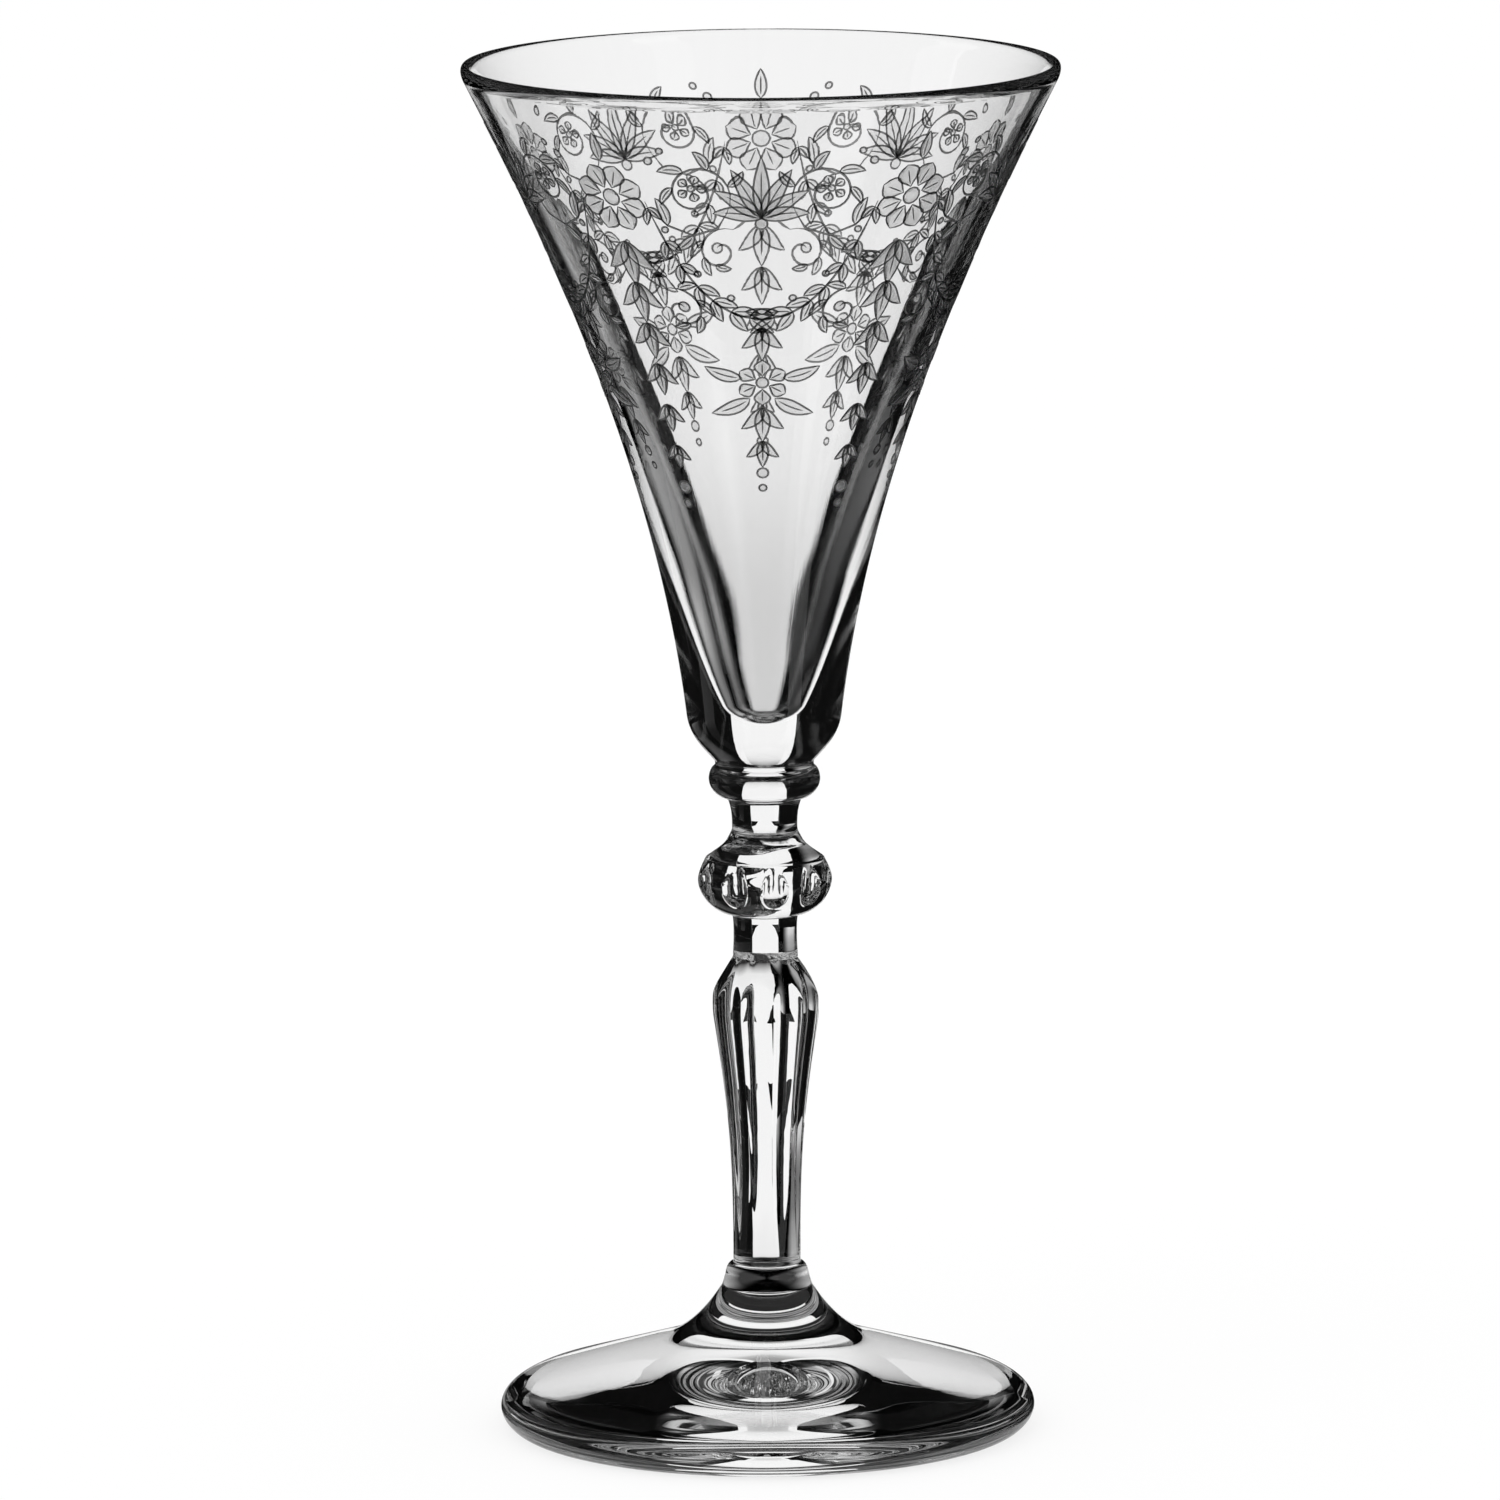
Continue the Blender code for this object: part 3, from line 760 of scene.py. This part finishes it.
    def draw(self):
        """The whole frieze, repeat by repeat."""
        pitch = 2 * math.pi / FRIEZE_REPEATS
        reach = np.interp(FRIEZE_LEVEL, self.heights, self.radii) * pitch / 2 / FRIEZE_SCALE
        for repeat in range(FRIEZE_REPEATS):
            self.angle = FRONT + pitch * repeat
            self.hand = 1
            self.palmette((0.0, 1.2), 5.4)
            self.husk((0.0, -8.4), 2.5)
            self.bouquet()
            for hand in (1, -1):
                self.hand = hand
                self.garland(reach - 2.2, 2.4, -7.6, 7)
                self.scroll_branch()
            self.angle += pitch / 2
            self.hand = 1
            self.rosette((0.0, 2.6), 2.9, 8)
            self.leaf((0.0, 5.8), 90.0, 2.4, 0.9)
            for index in range(6):
                self.husk((0.0, -1.2 - 3.55 * index), 3.4 - 0.33 * index)
            self.bead((0.0, -22.6), 0.5)
            self.bead((0.0, -24.0), 0.32)
            for hand in (1, -1):
                self.hand = hand
                self.side_sprig()


def node_maker(material):
    """Functions to add a node to a material and to link two sockets."""
    tree = material.node_tree

    def add(kind, **values):
        node = tree.nodes.new(kind)
        for key, value in values.items():
            if hasattr(node, key):
                setattr(node, key, value)
            else:
                node.inputs[key.replace("_", " ")].default_value = value
        return node

    return add, tree.links.new


def fade(add, link, value, low, high, first, last):
    """A socket that goes smoothly from one value to another while an input goes from low to high."""
    change = add("ShaderNodeMapRange", interpolation_type="SMOOTHSTEP", To_Min=first, To_Max=last)
    change.inputs["From Min"].default_value = low
    change.inputs["From Max"].default_value = high
    link(value, change.inputs["Value"])
    return change.outputs["Result"]


def product(add, link, first, second):
    """A socket with two inputs multiplied."""
    times = add("ShaderNodeMath", operation="MULTIPLY")
    link(first, times.inputs[0])
    link(second, times.inputs[1])
    return times.outputs[0]


def clear_glass(name, streak_scale, streak_bump, upright=False, low_darkening=None):
    """Clear glass with faint drawn streaks. They may run up the wall, and end where a darker colour low down
    does.
    """
    material = bpy.data.materials.new(name)
    material.use_nodes = True
    add, link = node_maker(material)
    shader = material.node_tree.nodes["Principled BSDF"]
    shader.inputs["IOR"].default_value = GLASS_INDEX
    shader.inputs["Transmission Weight"].default_value = 1.0
    place = add("ShaderNodeTexCoord")
    stretch = add("ShaderNodeMapping")
    stretch.inputs["Scale"].default_value = streak_scale
    streaks = add("ShaderNodeTexNoise", Scale=1.0, Detail=3.0)
    spot = place.outputs["Object"]
    if upright:
        level_part = add("ShaderNodeVectorMath", operation="MULTIPLY")
        level_part.inputs[1].default_value = (1.0, 1.0, 0.0)
        bearing = add("ShaderNodeVectorMath", operation="NORMALIZE")
        wound = add("ShaderNodeVectorMath", operation="MULTIPLY_ADD")
        wound.inputs[1].default_value = (0.0, 0.0, 1.0)
        link(spot, level_part.inputs[0])
        link(level_part.outputs[0], bearing.inputs[0])
        link(spot, wound.inputs[0])
        link(bearing.outputs[0], wound.inputs[2])
        spot = wound.outputs[0]
    link(spot, stretch.inputs["Vector"])
    link(stretch.outputs["Vector"], streaks.inputs["Vector"])
    tint = add("ShaderNodeMapRange", To_Min=LEAST_TINT, To_Max=1.0)
    polish = add("ShaderNodeMapRange", To_Min=0.0, To_Max=MOST_ROUGHNESS)
    bump = add("ShaderNodeBump", Strength=streak_bump, Distance=WAVE_DEPTH)
    link(streaks.outputs["Fac"], tint.inputs["Value"])
    link(streaks.outputs["Fac"], polish.inputs["Value"])
    link(streaks.outputs["Fac"], bump.inputs["Height"])
    colour = tint.outputs["Result"]
    # the inside of the bowl is darker towards the bottom, fading out between the two heights
    if low_darkening:
        split = add("ShaderNodeSeparateXYZ")
        link(place.outputs["Object"], split.inputs[0])
        height = split.outputs["Z"]
        low, high, darkest_share = low_darkening
        clear = fade(add, link, height, low * MM, high * MM, darkest_share, 1.0)
        colour = product(add, link, colour, clear)
        waves = fade(add, link, height, low * MM, high * MM, streak_bump, 0.0)
        link(waves, bump.inputs["Strength"])
    link(colour, shader.inputs["Base Color"])
    link(polish.outputs["Result"], shader.inputs["Roughness"])
    link(bump.outputs["Normal"], shader.inputs["Normal"])
    return material


def etched_glass(name, shade_and_grain_low, shade_and_grain_high, rough_low, rough_high):
    """Acid-etched glass: a frosted grain that scatters the light, under a grey tint that is painted shade.
    """
    material = bpy.data.materials.new(name)
    material.use_nodes = True
    add, link = node_maker(material)
    shader = material.node_tree.nodes["Principled BSDF"]
    shader.inputs["IOR"].default_value = GLASS_INDEX
    shader.inputs["Transmission Weight"].default_value = 1.0
    place = add("ShaderNodeTexCoord")
    grain = add("ShaderNodeTexNoise", Scale=GRAIN_SCALE, Detail=4.0)
    link(place.outputs["Object"], grain.inputs["Vector"])
    # painted shade: the grey tint darkens the frosted glass and varies with the grain
    tint = add("ShaderNodeMapRange", To_Min=shade_and_grain_low, To_Max=shade_and_grain_high)
    frost = add("ShaderNodeMapRange", To_Min=rough_low, To_Max=rough_high)
    bump = add("ShaderNodeBump", Strength=GRAIN_BUMP, Distance=GRAIN_DEPTH)
    link(grain.outputs["Fac"], tint.inputs["Value"])
    link(grain.outputs["Fac"], frost.inputs["Value"])
    link(grain.outputs["Fac"], bump.inputs["Height"])
    link(tint.outputs["Result"], shader.inputs["Base Color"])
    link(frost.outputs["Result"], shader.inputs["Roughness"])
    link(bump.outputs["Normal"], shader.inputs["Normal"])
    return material


def seal_material():
    """Nothing shows where two bits of glass are fused."""
    material = bpy.data.materials.new("fused_seal")
    material.use_nodes = True
    shader = material.node_tree.nodes["Principled BSDF"]
    shader.inputs["Alpha"].default_value = 0.0
    shader.inputs["IOR"].default_value = 1.0
    shader.inputs["Specular IOR Level"].default_value = 0.0
    return material


def make_glass():
    outlines = whole_outline()
    seal = seal_material()
    finishes = {
        "bowl_glass": clear_glass("bowl_glass", BOWL_STREAKS, OUTSIDE_BUMP, upright=True),
        "stem_glass": clear_glass("stem_glass", STEM_WAVES, STEM_BUMP),
        "foot_glass": clear_glass("foot_glass", FOOT_WAVES, FOOT_BUMP),
    }
    special = {
        "fluted_baluster": {"cut": fluted, "steps": FLUTED_STEPS, "turn": CUTS_TURN},
        "bowl": {"lined": True},
        "knop": {"cut": with_printies, "steps": FLUTED_STEPS, "turn": CUTS_TURN},
    }
    inside = clear_glass("bowl_inside", BOWL_STREAKS, INSIDE_BUMP, upright=True, low_darkening=INSIDE_DARKENING)
    for node, outline in outlines.items():
        mesh = glass_mesh(node, outline, **special.get(node, {}))
        slot = node + "_glass" if node in ("bowl", "foot") else "stem_glass"
        mesh.materials.append(finishes[slot])
        mesh.materials.append(seal)
        if node == "bowl":
            mesh.materials.append(inside)
        piece = bpy.data.objects.new("visual_" + node, mesh)
        bpy.context.scene.collection.objects.link(piece)
        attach(piece, "root")
        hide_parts(node)
    frieze = Frieze(outlines["bowl"])
    frieze.draw()
    frieze.lines.piece("etched_lines", etched_glass("etched_lines", *LINE_SHADE_AND_FINISH))
    frieze.fills.piece("etched_fills", etched_glass("etched_fills", *FILL_SHADE_AND_FINISH))


def make_camera():
    data = bpy.data.cameras.new("camera")
    data.lens = CAMERA_LENS
    data.sensor_width = SENSOR_WIDTH
    data.clip_start = CLIP_START
    data.clip_end = CLIP_END
    camera = bpy.data.objects.new("camera", data)
    bpy.context.scene.collection.objects.link(camera)
    focal_pixels = CAMERA_LENS / SENSOR_WIDTH * PHOTO_SIDE
    yaw = (PHOTO_AXIS_X - PHOTO_SIDE / 2) / focal_pixels
    turn = (
        Matrix.Rotation(yaw, 3, "Z")
        @ Matrix.Rotation(math.pi / 2 - CAMERA_PITCH, 3, "X")
        @ Matrix.Rotation(-CAMERA_ROLL, 3, "Z")
    )
    camera.location = (0.0, -CAMERA_DISTANCE, CAMERA_HEIGHT)
    camera.rotation_euler = turn.to_euler()
    bpy.context.scene.camera = camera


def seen_in_glass(add, link):
    """1 where a ray comes from a reflection or through glass, else 0."""
    path = add("ShaderNodeLightPath")
    either = add("ShaderNodeMath", operation="MAXIMUM")
    link(path.outputs["Is Glossy Ray"], either.inputs[0])
    link(path.outputs["Is Transmission Ray"], either.inputs[1])
    return path, either


def make_world():
    world = bpy.data.worlds.new("studio")
    bpy.context.scene.world = world
    world.use_nodes = True
    add, link = node_maker(world)
    world.node_tree.nodes.clear()
    path, either = seen_in_glass(add, link)
    shown = add("ShaderNodeMath", operation="MAXIMUM")
    link(path.outputs["Is Camera Ray"], shown.inputs[0])
    link(either.outputs[0], shown.inputs[1])
    white = add("ShaderNodeBackground", Color=(1.0, 1.0, 1.0, 1.0), Strength=1.0)
    light = add("ShaderNodeBackground", Color=(1.0, 1.0, 1.0, 1.0), Strength=WORLD_LIGHT)
    mix = add("ShaderNodeMixShader")
    output = add("ShaderNodeOutputWorld")
    link(shown.outputs[0], mix.inputs[0])
    link(light.outputs[0], mix.inputs[1])
    link(white.outputs[0], mix.inputs[2])
    link(mix.outputs[0], output.inputs["Surface"])


def make_floor():
    half = FLOOR_SIDE / 2
    corners = [(x, y, -FLOOR_DROP) for x, y in ((-half, -half), (half, -half), (half, half), (-half, half))]
    mesh = bpy.data.meshes.new("floor")
    mesh.from_pydata(corners, [], [(0, 1, 2, 3)])
    floor = bpy.data.objects.new("floor", mesh)
    bpy.context.scene.collection.objects.link(floor)
    material = bpy.data.materials.new("pale_floor")
    material.use_nodes = True
    add, link = node_maker(material)
    material.node_tree.nodes.clear()
    path, either = seen_in_glass(add, link)
    share = add("ShaderNodeMath", operation="MULTIPLY_ADD")
    share.inputs[1].default_value = FLOOR_GLOW_SHARE
    link(path.outputs["Is Camera Ray"], share.inputs[0])
    link(either.outputs[0], share.inputs[2])
    paint = add("ShaderNodeBsdfDiffuse", Color=(FLOOR_PAINT, FLOOR_PAINT, FLOOR_PAINT, 1.0))
    glow = add("ShaderNodeEmission", Color=(1.0, 1.0, 1.0, 1.0), Strength=1.0)
    mix = add("ShaderNodeMixShader")
    output = add("ShaderNodeOutputMaterial")
    link(share.outputs[0], mix.inputs[0])
    link(paint.outputs[0], mix.inputs[1])
    link(glow.outputs[0], mix.inputs[2])
    link(mix.outputs[0], output.inputs["Surface"])
    mesh.materials.append(material)


def flag_material():
    material = bpy.data.materials.new("black_flag")
    material.use_nodes = True
    shader = material.node_tree.nodes["Principled BSDF"]
    shader.inputs["Base Color"].default_value = (FLAG_PAINT, FLAG_PAINT, FLAG_PAINT, 1.0)
    shader.inputs["Roughness"].default_value = 1.0
    shader.inputs["Specular IOR Level"].default_value = 0.0
    return material


def graded_material(name, stops, fades=()):
    """A card whose brightness goes by distance from the middle, and fades in or out between bearings."""
    material = bpy.data.materials.new(name)
    material.use_nodes = True
    add, link = node_maker(material)
    material.node_tree.nodes.clear()
    place = add("ShaderNodeNewGeometry")
    reach = add("ShaderNodeVectorMath", operation="LENGTH")
    link(place.outputs["Position"], reach.inputs[0])
    furthest = stops[-1][0]
    share = add("ShaderNodeMath", operation="DIVIDE")
    share.inputs[1].default_value = furthest * MM
    link(reach.outputs["Value"], share.inputs[0])
    ramp = add("ShaderNodeValToRGB")
    steps = ramp.color_ramp.elements
    for index, (distance, light) in enumerate(stops):
        step = steps[index] if index < 2 else steps.new(distance / furthest)
        step.position = distance / furthest
        step.color = (light, light, light, 1.0)
    link(share.outputs[0], ramp.inputs["Fac"])
    glow = add("ShaderNodeEmission", Color=(1.0, 1.0, 1.0, 1.0))
    strength = ramp.outputs["Color"]
    split = add("ShaderNodeSeparateXYZ")
    bearing = add("ShaderNodeMath", operation="ARCTAN2")
    aside = add("ShaderNodeMath", operation="ABSOLUTE")
    link(place.outputs["Position"], split.inputs[0])
    link(split.outputs["X"], bearing.inputs[0])
    link(split.outputs["Y"], bearing.inputs[1])
    link(bearing.outputs[0], aside.inputs[0])
    for start, end, first, last in fades:
        edge = fade(add, link, aside.outputs[0], math.radians(start), math.radians(end), first, last)
        strength = product(add, link, strength, edge)
    link(strength, glow.inputs["Strength"])
    output = add("ShaderNodeOutputMaterial")
    link(glow.outputs[0], output.inputs["Surface"])
    return material


def stage_mesh(name, points, faces, material):
    """A flag, in millimetres, that only the glass sees."""
    mesh = bpy.data.meshes.new(name)
    mesh.from_pydata([[c * MM for c in p] for p in points], [], faces)
    mesh.materials.append(material)
    flag = bpy.data.objects.new(name, mesh)
    bpy.context.scene.collection.objects.link(flag)
    flag.visible_camera = False
    flag.visible_diffuse = False
    flag.visible_shadow = False
    return flag


def make_flag(name, first, last, near, far, near_height, far_height, material):
    """A flag that is a sector of a ring, lying or standing."""
    angles = np.radians(90.0 - np.linspace(first, last, FLAG_STEPS + 1))
    points = []
    for angle in angles:
        points.append((near * math.cos(angle), near * math.sin(angle), near_height))
        points.append((far * math.cos(angle), far * math.sin(angle), far_height))
    faces = [(2 * i, 2 * i + 2, 2 * i + 3, 2 * i + 1) for i in range(len(angles) - 1)]
    return stage_mesh(name, points, faces, material)


def make_graded_mat(name, light_name, first, last, height, stops, fades):
    """A graded card on the floor, from the first to the last distance of its brightness."""
    light = graded_material(light_name, stops, fades)
    make_flag(name, first, last, stops[0][0], stops[-1][0], height, height, light)


def make_graded_flags():
    for name, *rest in GRADED_MATS:
        make_graded_mat(name + "_mat", name + "_light", *rest)
    upper_light = graded_material("upper_light", UPPER_LIGHT)
    away = UPPER_CARD_DISTANCE
    for index, (bearing, spread) in enumerate(UPPER_CARDS):
        name = f"upper_card_{index}"
        first = bearing - spread
        last = bearing + spread
        make_flag(name, first, last, away, away, UPPER_CARD_BASE, CARD_TOP, upper_light)
    make_graded_mat("foot_shade", "foot_light", 0.0, 360.0, MAT_HEIGHT, FOOT_LIGHT, FOOT_FADES)


def make_studio():
    make_world()
    make_floor()
    black = flag_material()
    for flag in FLAGS:
        make_flag(*flag, black)
    make_graded_flags()
    strip_start = STRIP_HALF_WIDTH / math.tan(math.radians(BACKDROP_EDGE))
    for side, name in ((1, "strip_flag_right"), (-1, "strip_flag_left")):
        corners = [
            (side * STRIP_HALF_WIDTH, strip_start, MAT_HEIGHT),
            (side * STRIP_HALF_WIDTH, STRIP_END, MAT_HEIGHT),
            (side * STRIP_END * math.tan(math.radians(BACKDROP_EDGE)), STRIP_END, MAT_HEIGHT),
        ]
        stage_mesh(name, corners, [(0, 1, 2)], black)
    tent = make_flag("dark_tent", 0.0, 360.0, TENT_RADIUS, TENT_RADIUS, 0.0, TENT_HEIGHT, black)
    tent.visible_transmission = False
    lamp = bpy.data.lights.new("key", "AREA")
    lamp.energy = LAMP_POWER
    lamp.size = LAMP_SIZE
    key = bpy.data.objects.new("key", lamp)
    bpy.context.scene.collection.objects.link(key)
    key.location = LAMP_PLACE
    key.rotation_euler = (-key.location).to_track_quat("-Z", "Y").to_euler()


make_camera()
make_studio()
make_glass()

scene = bpy.context.scene
scene.view_settings.view_transform = "Standard"
scene.cycles.max_bounces = MOST_BOUNCES
scene.cycles.transmission_bounces = MOST_BOUNCES
scene.cycles.glossy_bounces = MOST_GLOSSY_BOUNCES
scene.cycles.transparent_max_bounces = MOST_BOUNCES
